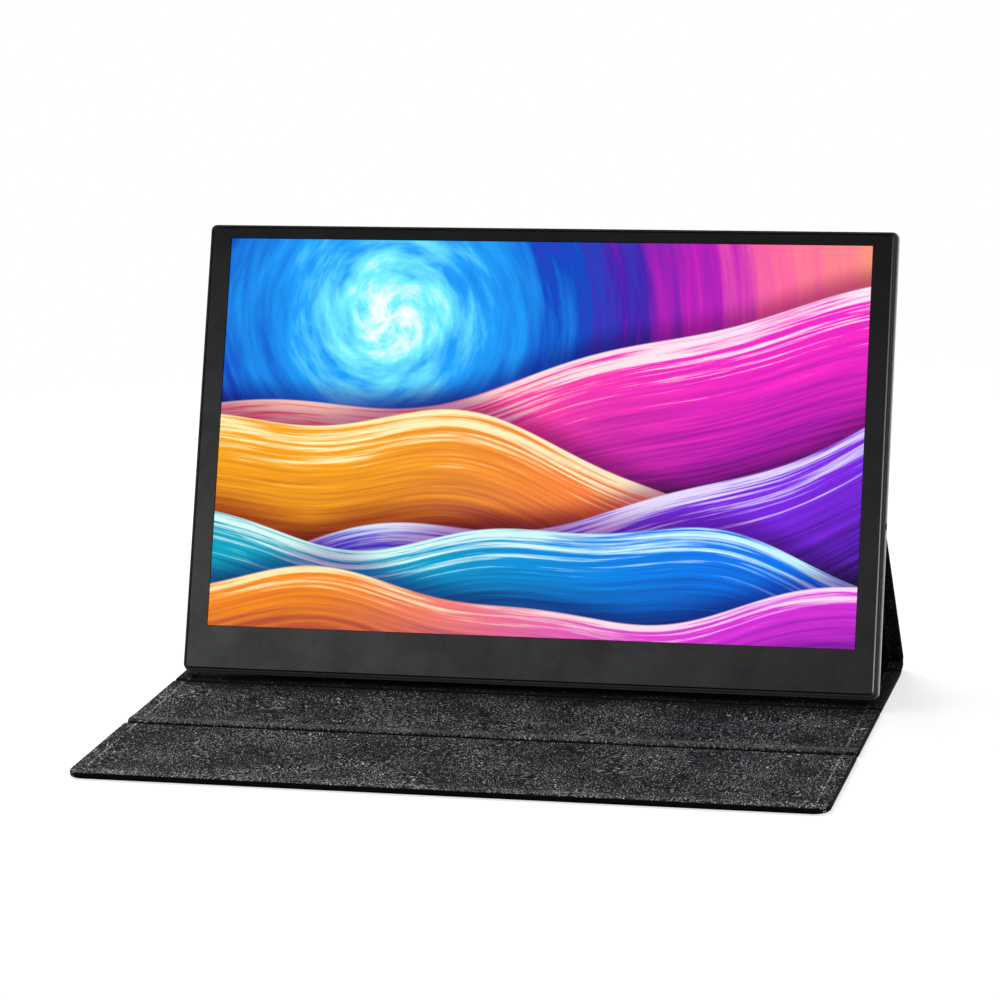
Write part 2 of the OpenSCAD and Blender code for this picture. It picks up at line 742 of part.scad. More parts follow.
module magnet(x, y, z) {
    block(x - magnet_size[0] / 2, x + magnet_size[0] / 2, y - magnet_size[1] / 2, y + magnet_size[1] / 2,
        z, z + magnet_t);
}

module housing_magnets() {
    color("#c4c6c9") on_monitor() for (x = back_magnet_x, y = back_magnet_y) magnet(x, y, floor_t);
}

// ---------------------------------------------------------------- cover

// Strip w wide from y0 to y1, with round corners at y1 when r is over 0
module tongue(w, y0, y1, r = 0, slant = 0) {
    polygon([for (p = [[-1, y0], [1, y0], [1, y1 - r], [-1, y1 - r]])
        [p[0] * (w / 2 - slant * p[1]), p[1]]]);
    if (r > 0) {
        block2(-w / 2 + r, w / 2 - r, y0, y1);
        for (s = [-1, 1]) translate([s * (w / 2 - r), y1 - r]) circle(r);
    }
}

// The parts of one panel, l long from crease to crease. s0 and s1 are how far the thick part stays
// back from the crease at each end, and e0 and e1 the same for the skin. An end with no crease has a
// turned edge and round corners.
module panel_skin(w, l, s0, s1, free_end = false, e0 = skin_end, e1 = skin_end, slant = 0) {
    r = free_end ? cover_r : 0;
    end = free_end ? 0 : e1;
    stop = free_end ? 0 : s1;
    edge = free_end ? skin_t : -eps;
    turn = free_end ? turn_w : -eps;
    linear_extrude(skin_t) tongue(w, e0, l - end, r, slant);
    linear_extrude(cover_t) difference() {
        tongue(w, s0, l - stop, r, slant);
        tongue(w - 2 * skin_t, s0 - eps, l - stop - edge + eps, max(0, r - skin_t), slant);
    }
    translate([0, 0, skin_t + board_t]) linear_extrude(lining_t) difference() {
        tongue(w, s0, l - stop, r, slant);
        tongue(w - 2 * turn_w, s0 - eps, l - stop - turn + eps, 0, slant);
    }
}

module panel_board(w, l, s0, s1, free_end = false, slant = 0) {
    r = free_end ? cover_r - skin_t : 0;
    stop = free_end ? skin_t : s1;
    translate([0, 0, skin_t]) linear_extrude(board_t) tongue(w - 2 * skin_t, s0, l - stop, r, slant);
}

module panel_lining(w, l, s0, s1, free_end = false, slant = 0) {
    stop = free_end ? turn_w : s1;
    translate([0, 0, skin_t + board_t]) linear_extrude(lining_t)
        tongue(w - 2 * turn_w, s0, l - stop, 0, slant);
}

module pockets(xs, ys) {
    for (x = xs, y = ys) block(x - magnet_size[0] / 2 - fit_gap, x + magnet_size[0] / 2 + fit_gap,
        y - magnet_size[1] / 2 - fit_gap, y + magnet_size[1] / 2 + fit_gap, magnet_z, magnet_z + magnet_t);
}

module magnets(xs, ys) {
    color("#c4c6c9") for (x = xs, y = ys) magnet(x, y, magnet_z);
}

module back_skin() {
    color(skin_tone) on_back() panel_skin(back_w, back_l, hinge_back, 0, true, e0 = hinge_end);
}

module back_board() {
    color(board_tone) on_back() difference() {
        panel_board(back_w, back_l, hinge_back, 0, true);
        pockets(back_magnet_x, panel_magnet_y);
    }
}

// Lining with the thin spacer pad that meets the housing
module back_lining() {
    pad = turn_w + 4;
    color(lining_tone) on_back() {
        panel_lining(back_w, back_l, hinge_back, 0, true);
        block(-back_w / 2 + pad, back_w / 2 - pad, hinge_back + 4, back_l - pad,
            cover_t - eps, cover_t + back_gap - seat_gap);
    }
}

module back_magnets() on_back() magnets(back_magnet_x, panel_magnet_y);

module leg_skin() {
    color(skin_tone) on_leg() panel_skin(cover_w, leg_l, leg_back, hinge_back, e1 = hinge_end, slant = leg_slant);
}

module leg_board() {
    color(board_tone) on_leg() panel_board(cover_w, leg_l, leg_back, hinge_back, slant = leg_slant);
}

module leg_lining() {
    color(lining_tone) on_leg() panel_lining(cover_w, leg_l, leg_back, hinge_back, slant = leg_slant);
}

module spine_skin() {
    color(skin_tone) on_spine() panel_skin(cover_w, spine_l, spine_back, leg_back);
}

module spine_board() {
    color(board_tone) on_spine() panel_board(cover_w, spine_l, spine_back, leg_back);
}

module spine_lining() {
    color(lining_tone) on_spine() panel_lining(cover_w, spine_l, spine_back, leg_back);
}

module rear_skin() {
    color(skin_tone) on_rear() panel_skin(cover_w, rear_l, front_back, spine_back);
}

module rear_board() {
    color(board_tone) on_rear() difference() {
        panel_board(cover_w, rear_l, front_back, spine_back);
        pockets(rear_magnet_x, [rear_l / 2]);
    }
}

module rear_lining() {
    color(lining_tone) on_rear() panel_lining(cover_w, rear_l, front_back, spine_back);
}

module rear_magnets() on_rear() magnets(rear_magnet_x, [rear_l / 2]);

module front_skin() {
    color(skin_tone) on_front() panel_skin(cover_w, front_l, front_back, flap_back);
}

module front_board() {
    color(board_tone) on_front() panel_board(cover_w, front_l, front_back, flap_back);
}

module front_lining() {
    color(lining_tone) on_front() panel_lining(cover_w, front_l, front_back, flap_back);
}

module flap_skin() {
    color(skin_tone) on_flap() panel_skin(cover_w, flap_l, flap_back, 0, true);
}

module flap_board() {
    color(board_tone) on_flap() difference() {
        panel_board(cover_w, flap_l, flap_back, 0, true);
        pockets(flap_magnet_x, [flap_l - edge_in]);
    }
}

module flap_lining() {
    color(lining_tone) on_flap() panel_lining(cover_w, flap_l, flap_back, 0, true);
}

module flap_magnets() on_flap() magnets(flap_magnet_x, [flap_l - edge_in]);

// ---------------------------------------------------------------- nodes

front_bezel();
mid_frame();
rear_housing();
bezel_tape();
lcd_glass();
prism_film();
diffuser_film();
light_guide();
reflector_sheet();
led_strip();
panel_frame();
panel_backplate();
driver_board();
glass_ribbons();
display_cable();
main_board();
board_chips();
heat_spreader();
usb_c_port_lower();
usb_c_port_upper();
mini_hdmi_port();
audio_jack();
audio_board();
audio_cable();
power_switch();
power_button();
menu_switch();
menu_wheel();
led_light_pipe();
left_speaker();
right_speaker();
speaker_wires();
housing_magnets();
frame_screws();
board_screws();
back_skin();
back_board();
back_lining();
back_magnets();
leg_skin();
leg_board();
leg_lining();
spine_skin();
spine_board();
spine_lining();
rear_skin();
rear_board();
rear_lining();
rear_magnets();
front_skin();
front_board();
front_lining();
flap_skin();
flap_board();
flap_lining();
flap_magnets();
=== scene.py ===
"""A portable monitor that stands on its own folding leather cover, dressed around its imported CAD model."""

import json
import math

import bmesh
import bpy
from mathutils import Matrix, Vector, noise


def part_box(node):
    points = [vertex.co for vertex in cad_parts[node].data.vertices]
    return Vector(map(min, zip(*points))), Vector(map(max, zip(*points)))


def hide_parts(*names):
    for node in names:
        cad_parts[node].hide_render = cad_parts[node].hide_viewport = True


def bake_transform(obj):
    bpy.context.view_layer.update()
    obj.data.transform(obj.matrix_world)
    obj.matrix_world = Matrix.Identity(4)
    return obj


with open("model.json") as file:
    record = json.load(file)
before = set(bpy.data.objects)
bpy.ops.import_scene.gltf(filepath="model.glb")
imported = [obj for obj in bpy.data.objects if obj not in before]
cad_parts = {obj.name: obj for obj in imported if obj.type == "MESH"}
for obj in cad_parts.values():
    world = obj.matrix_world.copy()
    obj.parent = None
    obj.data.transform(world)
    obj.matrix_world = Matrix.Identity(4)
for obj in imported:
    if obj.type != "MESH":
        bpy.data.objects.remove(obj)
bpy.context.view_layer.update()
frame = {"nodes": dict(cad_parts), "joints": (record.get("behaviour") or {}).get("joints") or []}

MM = 0.001                         # all lengths are in metres unless a comment says otherwise


# ---------------------------------------------------------------- measures taken from the CAD frame

def joint(name):
    """A joint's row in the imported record."""
    return next(row for row in frame["joints"] if row["name"] == name)


def span(node, axis):
    """How far a CAD node reaches along an axis, as its lowest and highest value."""
    reach = [v.co.dot(axis) for v in frame["nodes"][node].data.vertices]
    return min(reach), max(reach)


ACROSS = Vector((1, 0, 0))
FACE = Vector(joint("menu_turn")["axis"])      # straight out of the screen
UP_SCREEN = FACE.cross(ACROSS)                 # up the leaning screen
SCREEN_SLOPE = math.atan2(UP_SCREEN.z, UP_SCREEN.y)    # its angle from the floor, in radians
COVER_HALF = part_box("flap_skin")[1].x          # half the width of the cover's panels
BACK_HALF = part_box("back_skin")[1].x           # half the width of the panel behind the monitor


# ---------------------------------------------------------------- measures of the cover as one soft strip

SKIN = 0.6 * MM                    # from the fold line out to the leather's outer face
INNER = 2.4 * MM                   # from the fold line in to the lining's face
VALLEY = 0.25 * MM                 # height of the lining at the bottom of a crease
EDGE_R = 0.9 * MM                  # rounding of the cover's edges
CORNER_R = 8 * MM                  # rounding of its corners
EDGE_STEPS = 4                     # faces across the rounding of an edge, and round a corner
CORNER_STEPS = 10
BORDER = 7 * MM                    # from the edge to the pressed line
LINE_HALF = 0.4 * MM               # half the width of that line
LINE_DEPTH = 0.3 * MM
LAYER_GAP = 0.14 * MM              # depth of the line where skin and lining meet at the edge
RIB_HALF = 4 * MM                  # half the width of the rib beside the flap's crease
RIB_RISE = 0.45 * MM
FOLD_SHADE_HALF = 2 * MM                 # half the width of the smooth dark line of painted shade along each fold
SEAM = 0.9 * SKIN                  # height of the line where skin and lining meet
SWELL = 0.11 * MM                  # how far the lining sinks between its high points
SWELLS = (30, 38)                  # how fast those follow one another across and along, per metre
SWELL_SLICE = 2.0                  # which slice of the noise they are taken from
ON_TOP = 0.05 * MM                 # points this near the lining's face belong to it
DRAW_IN = 0.7 * MM                 # how far the side edges draw in at a crease
DRAW_BAND = 3 * MM                 # width of the band along the side edges that draws in
END_CLEAR = 2 * MM                 # cuts stay this far from the cover's ends
ROW_STEP = 9 * MM                  # between cuts across the cover, away from its creases
COLUMN_STEP = 12 * MM              # between cuts along it
COLUMNS = 14                       # such cuts on each side of the middle
CUT_MERGE = 1e-7                   # points nearer than this to a cut are taken as on it
ON_SEAM = 1e-6                     # points nearer than this to the seam belong to it
SLOPING = 0.7                      # a face whose normal leans further than this faces that way
MANY_SIDED = 60                    # faces with this many corners are flat caps and stay sharp
# Distances in mm from each crease at which the cover is cut across, on both sides.
FINE_ROWS = (0, 0.3, 0.6, 0.9, 1.1, 1.25, 1.4, 1.6, 1.85, 2.15, 2.5, 2.9, 3.4, 4.0, 4.6, 6.0)
OUTSIDE = 1.0                      # how far aside the outer face lies on the leather's UV sheet

# Each crease: its joint, then in mm the fold's radius and half the width of its valley's floor and mouth.
CREASES = (
    ("flap_fold", (2.0, 1.1, 4.4)),
    ("front_fold", (2.0, 0.5, 2.8)),
    ("spine_fold", (2.0, 0.1, 1.2)),
    ("leg_fold", (1.5, 1.4, 4.2)),
    ("monitor_fold", (1.2, 0.1, 1.2)),
)


# ---------------------------------------------------------------- camera, stage and lamps

CAMERA_AT = (0.4509, -1.7865, 0.5392)
CAMERA_YAW = -14.41                # degrees, as are the next two
CAMERA_PITCH = 13.31
CAMERA_ROLL = -1.72
CAMERA_LENS = 135.69               # millimetres, as is the sensor
SENSOR_WIDTH = 36
NEAREST, FURTHEST = 0.05, 60       # the camera's clipping distances

FLOOR_HALF = 8                     # half the floor's width
FLOOR_DROP = 0.2 * MM              # the floor lies this far below the cover
FLOOR_TONE = 0.6
FLOOR_LIFT = 0.66                  # brightness that the floor adds where it is seen
FLOOR_FADE = (0.45, 0.9)           # distances between which the seen floor turns white
WORLD_LEVEL = 0.28
LAMPS = (                          # name, place, aim, size, watts
    ("key", (-0.8, 0.75, 1.9), (0, 0, 0), (1.4, 1.4), 24),
    ("back", (0.7, 1.6, 1.2), (0, 0.1, 0), (1.4, 0.7), 2.5),
    ("side", (1.9, -0.1, 0.35), (0.18, 0, 0.1), (0.5, 1.2), 2),
)
SEEN_RAYS = ("Is Camera Ray", "Is Glossy Ray", "Is Transmission Ray")
WHITE = (1, 1, 1, 1)
BLACK = (0, 0, 0, 1)


def set_camera():
    """A camera at CAMERA_AT, turned by its yaw, pitch and roll."""
    yaw, pitch, roll = (math.radians(a) for a in (CAMERA_YAW, CAMERA_PITCH, CAMERA_ROLL))
    ahead = Vector((math.sin(yaw) * math.cos(pitch), math.cos(yaw) * math.cos(pitch), -math.sin(pitch)))
    right = Vector((math.cos(yaw), -math.sin(yaw), 0))
    up = right.cross(ahead)
    across = right * math.cos(roll) + up * math.sin(roll)
    upright = up * math.cos(roll) - right * math.sin(roll)
    camera = bpy.data.objects.new("camera", bpy.data.cameras.new("camera"))
    bpy.context.scene.collection.objects.link(camera)
    turn = Matrix((across, upright, -ahead)).transposed().to_4x4()
    camera.matrix_world = Matrix.Translation(CAMERA_AT) @ turn
    camera.data.lens = CAMERA_LENS
    camera.data.sensor_width = SENSOR_WIDTH
    camera.data.clip_start = NEAREST
    camera.data.clip_end = FURTHEST
    bpy.context.scene.camera = camera


def area_lamp(name, place, aim, size, watts):
    """A soft oblong lamp at a place, turned to an aim."""
    lamp = bpy.data.lights.new(name, "AREA")
    lamp.shape = "RECTANGLE"
    lamp.size, lamp.size_y = size
    lamp.energy = watts
    holder = bpy.data.objects.new(name, lamp)
    bpy.context.scene.collection.objects.link(holder)
    holder.location = place
    holder.rotation_euler = (Vector(aim) - Vector(place)).to_track_quat("-Z", "Y").to_euler()


# ---------------------------------------------------------------- finishes

NOISE_RANGE = (0.3, 0.7)           # most of a noise's values lie between these


class Tree:
    """The nodes of one material or of the world."""

    def __init__(self, owner):
        owner.use_nodes = True
        self.tree = owner.node_tree

    def add(self, kind, inputs=None, out=0, **settings):
        """Adds a node, sets or links its inputs and gives one of its outputs."""
        node = self.tree.nodes.new("ShaderNode" + kind)
        for key, value in settings.items():
            setattr(node, key, value)
        for socket, value in (inputs or {}).items():
            if isinstance(value, bpy.types.NodeSocket):
                self.tree.links.new(value, node.inputs[socket])
            else:
                node.inputs[socket].default_value = value
        return node.outputs[out]

    def calc(self, operation, a, b=0.0):
        return self.add("Math", {0: a, 1: b}, operation=operation)

    def seen(self):
        """1 for the rays that look at the surroundings themselves, also by way of metal and glass."""
        rays = [self.add("LightPath", out=ray) for ray in SEEN_RAYS]
        return self.calc("MAXIMUM", self.calc("MAXIMUM", rays[0], rays[1]), rays[2])

    def show(self, shader, output):
        """Makes a shader the one that is rendered."""
        self.tree.links.new(shader, self.tree.nodes[output].inputs["Surface"])


class Finish(Tree):
    """One material: a Principled shader with the nodes that feed it."""

    def __init__(self, name, **shader):
        self.material = bpy.data.materials.new(name)
        super().__init__(self.material)
        self.shader = self.tree.nodes["Principled BSDF"]
        for socket, value in shader.items():
            self.shader.inputs[socket.replace("_", " ")].default_value = value

    def coords(self, source="Object", scale=(1, 1, 1), turn=(0, 0, 0)):
        place = self.add("TexCoord", out=source)
        return self.add("Mapping", {"Vector": place, "Scale": scale, "Rotation": turn})

    def plus(self, a, b):
        return self.calc("ADD", a, b)

    def minus(self, a, b):
        return self.calc("SUBTRACT", a, b)

    def times(self, a, b):
        return self.calc("MULTIPLY", a, b)

    def off(self, a, b):
        """How far one value is from another, above or below it."""
        return self.calc("ABSOLUTE", self.minus(a, b))

    def split(self, place, part=0):
        return self.add("SeparateXYZ", {0: place}, out=part)

    def distance(self, place, axis):
        """How far a place lies along an axis."""
        return self.add("VectorMath", {0: place, 1: axis}, operation="DOT_PRODUCT", out="Value")

    def neutral(self, level):
        """A grey whose level varies."""
        return self.add("CombineColor", {i: level for i in range(3)})

    def noise(self, place, scale, detail=4.0, rough=0.55):
        return self.add("TexNoise", {"Vector": place, "Scale": scale, "Detail": detail,
            "Roughness": rough})

    def cloud(self, place, scale):
        """Broad soft patches."""
        return self.noise(place, scale, 5.0, 0.65)

    def grain(self, place, scale):
        """A fine even grain."""
        return self.noise(place, scale, 3.0, 0.6)

    def cells(self, place, scale, feature="F1", random=1.0):
        return self.add("TexVoronoi", {"Vector": place, "Scale": scale, "Randomness": random},
            feature=feature)

    def fit(self, value, low, high, to_low=0.0, to_high=1.0, curve="LINEAR"):
        """A value carried over from one range to another, and held inside it."""
        return self.add("MapRange", {"Value": value, "From Min": low, "From Max": high,
            "To Min": to_low, "To Max": to_high}, interpolation_type=curve)

    def spread(self, noise, low, high):
        """A noise, whose usual range is stretched to reach from low to high."""
        return self.fit(noise, *NOISE_RANGE, low, high)

    def ramp(self, value, *stops):
        """Colours that lie at their places along a value from 0 to 1."""
        shade = self.add("ValToRGB", {"Fac": value})
        band = shade.node.color_ramp
        while len(band.elements) < len(stops):
            band.elements.new(1)
        for element, (at, colour) in zip(band.elements, stops):
            element.position = at
            element.color = (*colour, 1)
        return shade

    def mix(self, share, a, b, blend="MIX"):
        """Two colours mixed. The node takes colours at its inputs 6 and 7 and gives one at its output 2."""
        return self.add("Mix", {0: share, 6: a, 7: b}, out=2, data_type="RGBA", blend_type=blend)

    def bump(self, height, depth):
        return self.add("Bump", {"Height": height, "Distance": depth})

    def wire(self, **sockets):
        """Links values to the shader's sockets and gives the finished material."""
        for socket, value in sockets.items():
            self.tree.links.new(value, self.shader.inputs[socket.replace("_", " ")])
        return self.material


def grey(level):
    return (level, level, level)


BROAD_SWIRL = (34.0, 30 * MM)      # swirls to the metre, and how far each pulls the grain
FINE_SWIRL = (420.0, 1.2 * MM)
CRACKS, WRINKLES, FLECKS = 680.0, 700.0, 1350.0        # to the metre
CRACK_SHARE, WRINKLE_SHARE = 0.42, 0.3                 # of the grain's height
FLECK_SHARE = (0.6, 0.2)           # on the lining and on the outer face, as in the next three
GRAIN_FINENESS = (1.0, 1.4)
GRAIN_WEIGHT = (1.0, 0.76)
CLOUD_LOW = (0.7, 0.9)             # weight of the grain in its faintest patches
CLOUDS = 24.0
GRAIN_STRETCH = (1.0, 0.5, 1.0)    # wrinkles run along the cover
GRAIN_DEPTH = 0.22 * MM
CRACK_EDGE = (0.05, 0.2)           # where in its pattern each part of the grain begins and is full
WRINKLE_EDGE = (0.0, 0.05)
FLECK_EDGE = (0.56, 0.68)
CLOUD_EDGE = (0.36, 0.64)
TICK_EDGE = (0.45, 0.62)
TICKS = 1500.0                     # short marks to the metre on the hem outside the pressed line
TICK_STRETCH = (1.0, 0.12, 1.0)
LINE_HIGHLIGHT_AND_WEAR, HEM_RUB, RIB_HIGHLIGHT_AND_WEAR = 0.22, 0.3, 0.36           # how much paler the lines are: painted highlight together with wear on the pressed line and the rib, wear on the hem
RIB_WEIGHT = 0.4
REAR_SHADE_LENGTH = 18 * MM                  # painted shade: the grain grows fainter, and the leather darker, over this length up to the rear panel
REAR_SHADE_WEIGHT = 0.6
LEATHER_GLOSS = (0.7, 0.5)         # roughness in the cracks, and at the palest spots
LEATHER_TONES = (                  # from the cracks to the palest spots; the pale end is painted highlight, glints on the grain's tops, together with wear on the lines
    (0.0, (0.004, 0.0043, 0.004)),
    (0.24, (0.007, 0.0075, 0.007)),
    (0.52, (0.086, 0.091, 0.087)),
    (0.85, (0.76, 0.78, 0.76)),
)


def cover_leather(folds, rear_shade_end):
    """Black crackled leather: short wrinkles that swirl in patches, paler on the high points by painted
    highlight and wear, with painted shade along its folds and towards the rear panel.
    """
    f = Finish("cover_leather", Specular_IOR_Level=0.03)
    flat = f.coords("UV")
    across, run = f.split(flat), f.split(flat, 1)
    outside = f.calc("GREATER_THAN", across, 0.5 * OUTSIDE)
    across = f.minus(across, f.times(outside, OUTSIDE))

    def swirl(scale, reach):
        """How far and which way the grain is pulled aside at each place."""
        drift = f.add("TexNoise", {"Vector": flat, "Scale": scale, "Detail": 2.0}, out="Color")
        pull = f.add("VectorMath", {0: drift, 1: (0.5, 0.5, 0.5)}, operation="SUBTRACT")
        return f.add("VectorMath", {0: pull, "Scale": reach}, operation="SCALE")

    def by_face(values):
        """The first value on the lining and the second on the outer face."""
        return f.fit(outside, 0.0, 1.0, *values)

    drawn = f.add("VectorMath", {0: flat, 1: swirl(*BROAD_SWIRL)})
    drawn = f.add("VectorMath", {0: drawn, 1: swirl(*FINE_SWIRL)})
    place = f.add("Mapping", {"Vector": drawn, "Scale": GRAIN_STRETCH})
    place = f.add("VectorMath", {0: place, "Scale": by_face(GRAIN_FINENESS)}, operation="SCALE")
    crack = f.fit(f.cells(place, CRACKS, "DISTANCE_TO_EDGE"), *CRACK_EDGE, curve="SMOOTHSTEP")
    wrinkle = f.off(f.noise(place, WRINKLES, 2.0, 0.5), 0.5)
    wrinkle = f.fit(wrinkle, *WRINKLE_EDGE, 1.0, 0.0, "SMOOTHSTEP")
    # The flecks are grain and also painted highlight: glints on the grain's tops.
    flecks = f.fit(f.noise(place, FLECKS, 1.0, 0.5), *FLECK_EDGE)
    hide = f.plus(f.times(crack, CRACK_SHARE), f.times(wrinkle, WRINKLE_SHARE))
    hide = f.plus(hide, f.times(flecks, by_face(FLECK_SHARE)))
    weight = f.fit(f.noise(flat, CLOUDS, 3.0, 0.6), *CLOUD_EDGE, by_face(CLOUD_LOW), 1.0)
    weight = f.times(weight, by_face(GRAIN_WEIGHT))

    to_edge = f.calc("MINIMUM", f.minus(COVER_HALF, f.calc("ABSOLUTE", across)), run)
    # Painted highlight, together with wear, along the pressed line on the lining.
    line = f.fit(f.off(to_edge, BORDER), LINE_HALF, 2 * LINE_HALF, 1.0, 0.0)
    line = f.times(line, f.minus(1.0, outside))
    ticks = f.noise(f.add("Mapping", {"Vector": flat, "Scale": TICK_STRETCH}), TICKS, 2.0)
    hem = f.times(f.fit(ticks, *TICK_EDGE), f.calc("LESS_THAN", run, BORDER))
    wear_and_highlight = f.calc("MAXIMUM", f.times(line, LINE_HIGHLIGHT_AND_WEAR), f.times(hem, HEM_RUB))
    for fold in folds:
        ahead = f.minus(run, fold.flat)
        # Painted shade: the grain fades to a smooth dark line along each fold.
        valley = f.fit(f.calc("ABSOLUTE", ahead), 0.5 * FOLD_SHADE_HALF, FOLD_SHADE_HALF, curve="SMOOTHSTEP")
        weight = f.times(weight, valley)
        if fold.rib:
            # Painted highlight, together with wear, on the rib beside the flap's crease.
            band = f.fit(f.off(ahead, fold.rib), 0.5 * RIB_HALF, RIB_HALF, 1.0, 0.0, "SMOOTHSTEP")
            wear_and_highlight = f.calc("MAXIMUM", wear_and_highlight, f.times(band, RIB_HIGHLIGHT_AND_WEAR))
            weight = f.times(weight, f.fit(band, 0.0, 1.0, 1.0, RIB_WEIGHT))
    inward_of_edge = f.fit(to_edge, 0.0, EDGE_R)
    weight = f.times(weight, inward_of_edge)
    # Painted shade towards the rear panel. Taking 1 from the outer face's run puts it before the shade, so
    # its grain keeps its strength.
    rear_panel_shade = f.fit(f.minus(run, outside), rear_shade_end - REAR_SHADE_LENGTH, rear_shade_end, 1.0, REAR_SHADE_WEIGHT)
    weight = f.times(weight, rear_panel_shade)
    grain = f.times(hide, weight)
    # The tone carries the painted highlights on the grain and the painted shade held in its weight.
    grain_wear_and_highlight = f.plus(grain, f.times(wear_and_highlight, inward_of_edge))
    return f.wire(Base_Color=f.ramp(grain_wear_and_highlight, *LEATHER_TONES), Roughness=f.fit(grain_wear_and_highlight, 0.2, 1.2, *LEATHER_GLOSS),
        Normal=f.bump(grain, GRAIN_DEPTH))


SATIN_CLOUDS = 26.0                # to the metre
CLOUD_PART = 0.6                   # of a satin's mottling, the rest is its grain
MOTTLING_RANGE = (0.34, 0.66)      # most of the mottling lies between these
UNEVEN_GLOSS = 0.06


def satin(name, colour, rough, fleck, grain_scale, grain_depth, metallic=0.0, stretch=(1, 1, 1)):
    """A plain body colour with a fine grain, faint clouding and uneven gloss."""
    f = Finish(name, Metallic=metallic, Specular_IOR_Level=0.3)
    place = f.coords(scale=stretch)
    cloud = f.cloud(f.coords(), SATIN_CLOUDS)
    grain = f.grain(place, grain_scale)
    low = tuple(c * (1 - fleck) for c in colour)
    high = tuple(min(1.0, c * (1 + fleck)) for c in colour)
    mottling = f.plus(f.times(cloud, CLOUD_PART), f.times(grain, 1 - CLOUD_PART))
    shade = f.ramp(mottling, *zip(MOTTLING_RANGE, (low, high)))
    gloss = f.spread(cloud, rough - UNEVEN_GLOSS, rough + UNEVEN_GLOSS)
    return f.wire(Base_Color=shade, Roughness=gloss, Normal=f.bump(grain, grain_depth))


BRUSHED = (0.15, 0.21)             # darkest and palest level of the brushed aluminium
BRUSH_STRETCH = (0.05, 1, 1)       # the brush strokes run across the housing
HOUSING_GLOSS = (0.3, 0.4)         # roughness where shiniest and dullest
CUT_GAIN = 0.2                     # how much paler the polished sides are
CUT_FROM, CUT_TO = 0.5 * MM, 0.3 * MM                  # from the housing's side, where that starts and ends
FOOT_SHADE_HEIGHT = 2 * MM               # painted shade: the housing darkens this close to its foot
FOOT_SHADE_SHARE = 0.08


def housing_aluminium():
    """Brushed anodised aluminium, polished bright where the sides were cut, with painted shade near its
    foot.
    """
    f = Finish("housing_aluminium", Metallic=1.0)
    place = f.coords()
    cloud = f.cloud(place, SATIN_CLOUDS)
    brushed = f.grain(f.coords(scale=BRUSH_STRETCH), 1800.0)
    half = span("rear_housing", ACROSS)[1]
    foot = span("rear_housing", UP_SCREEN)[0]
    cut = f.fit(f.calc("ABSOLUTE", f.split(place)), half - CUT_FROM, half - CUT_TO)
    # Painted shade near the foot.
    shade = f.fit(f.distance(place, UP_SCREEN), foot, foot + FOOT_SHADE_HEIGHT, FOOT_SHADE_SHARE, 1.0)
    level = f.plus(f.times(f.spread(brushed, *BRUSHED), shade), f.times(cut, CUT_GAIN))
    return f.wire(Base_Color=f.neutral(level), Roughness=f.spread(cloud, *HOUSING_GLOSS),
        Normal=f.bump(brushed, 0.012 * MM))


BEZEL_PAINTED_RISE = (0.12, 0.014)         # the plastic's level at the foot and at the top; painted light makes it paler low down
BEZEL_PAINTED_SIDES = (1.4, 0.6)           # and its share at the left and the right; painted light makes it paler at the left
BEZEL_CLOUDS = (0.72, 1.3)         # its share in the darkest and the palest patches
BEZEL_GRAIN = (0.85, 1.15)         # and in its grain
BEZEL_SPECK = 0.012                # how much paler its specks are
BEZEL_GLOSS = 0.1                  # how strongly it mirrors, except at its rim
BEZEL_ROUGH = (0.42, 0.54)
RIM_SHADE_FROM, RIM_SHADE_TO = 0.4 * MM, 0.8 * MM                  # painted shade: the outer edge is dull black up to here
RIM_SHADE_SHARE = 0.1
HIGHLIGHT_FROM, HIGHLIGHT_TO = 0.55 * MM, 0.45 * MM          # the painted highlight line along the right edge
HIGHLIGHT_LEVEL = 0.95
HIGHLIGHT_FADE = (1.0, 0.2)           # the painted highlight's share at the foot and at the top


def bezel_black():
    """The bezel's matt black plastic: clouded and faintly speckled, with painted light: paler low down and
    on the left, black painted shade at its rim, and a painted highlight line along its right edge.
    """
    f = Finish("bezel_black")
    place = f.coords()
    low, high = span("front_bezel", UP_SCREEN)
    half = span("front_bezel", ACROSS)[1]
    rise = f.distance(place, UP_SCREEN)
    side = f.split(place)
    cloud = f.cloud(place, 34.0)
    grain = f.grain(place, 1500.0)
    speck = f.fit(f.cells(place, 420.0), 0.05, 0.16, 1.0, 0.0)
    # Painted light: paler low down and on the left.
    level = f.times(f.fit(rise, low, high, *BEZEL_PAINTED_RISE), f.fit(side, -half, half, *BEZEL_PAINTED_SIDES))
    level = f.times(level, f.fit(cloud, 0.32, 0.68, *BEZEL_CLOUDS))
    level = f.times(level, f.spread(grain, *BEZEL_GRAIN))
    level = f.plus(level, f.times(speck, BEZEL_SPECK))
    # Painted shade: the outer rim is black.
    rim = f.calc("MINIMUM", f.minus(rise, low), f.minus(high, rise))
    rim = f.calc("MINIMUM", rim, f.plus(side, half))
    clear_of_rim_shade = f.fit(rim, RIM_SHADE_FROM, RIM_SHADE_TO)
    level = f.times(level, f.fit(clear_of_rim_shade, 0.0, 1.0, RIM_SHADE_SHARE, 1.0))
    # Painted highlight: a bright line along the right edge, fading towards the top.
    bright = f.fit(side, half - HIGHLIGHT_FROM, half - HIGHLIGHT_TO)
    bright = f.times(bright, f.fit(rise, low, high, *HIGHLIGHT_FADE))
    level = f.plus(level, f.times(bright, HIGHLIGHT_LEVEL))
    return f.wire(Base_Color=f.neutral(level), Roughness=f.spread(cloud, *BEZEL_ROUGH),
        Specular_IOR_Level=f.times(clear_of_rim_shade, BEZEL_GLOSS), Normal=f.bump(grain, 0.015 * MM))


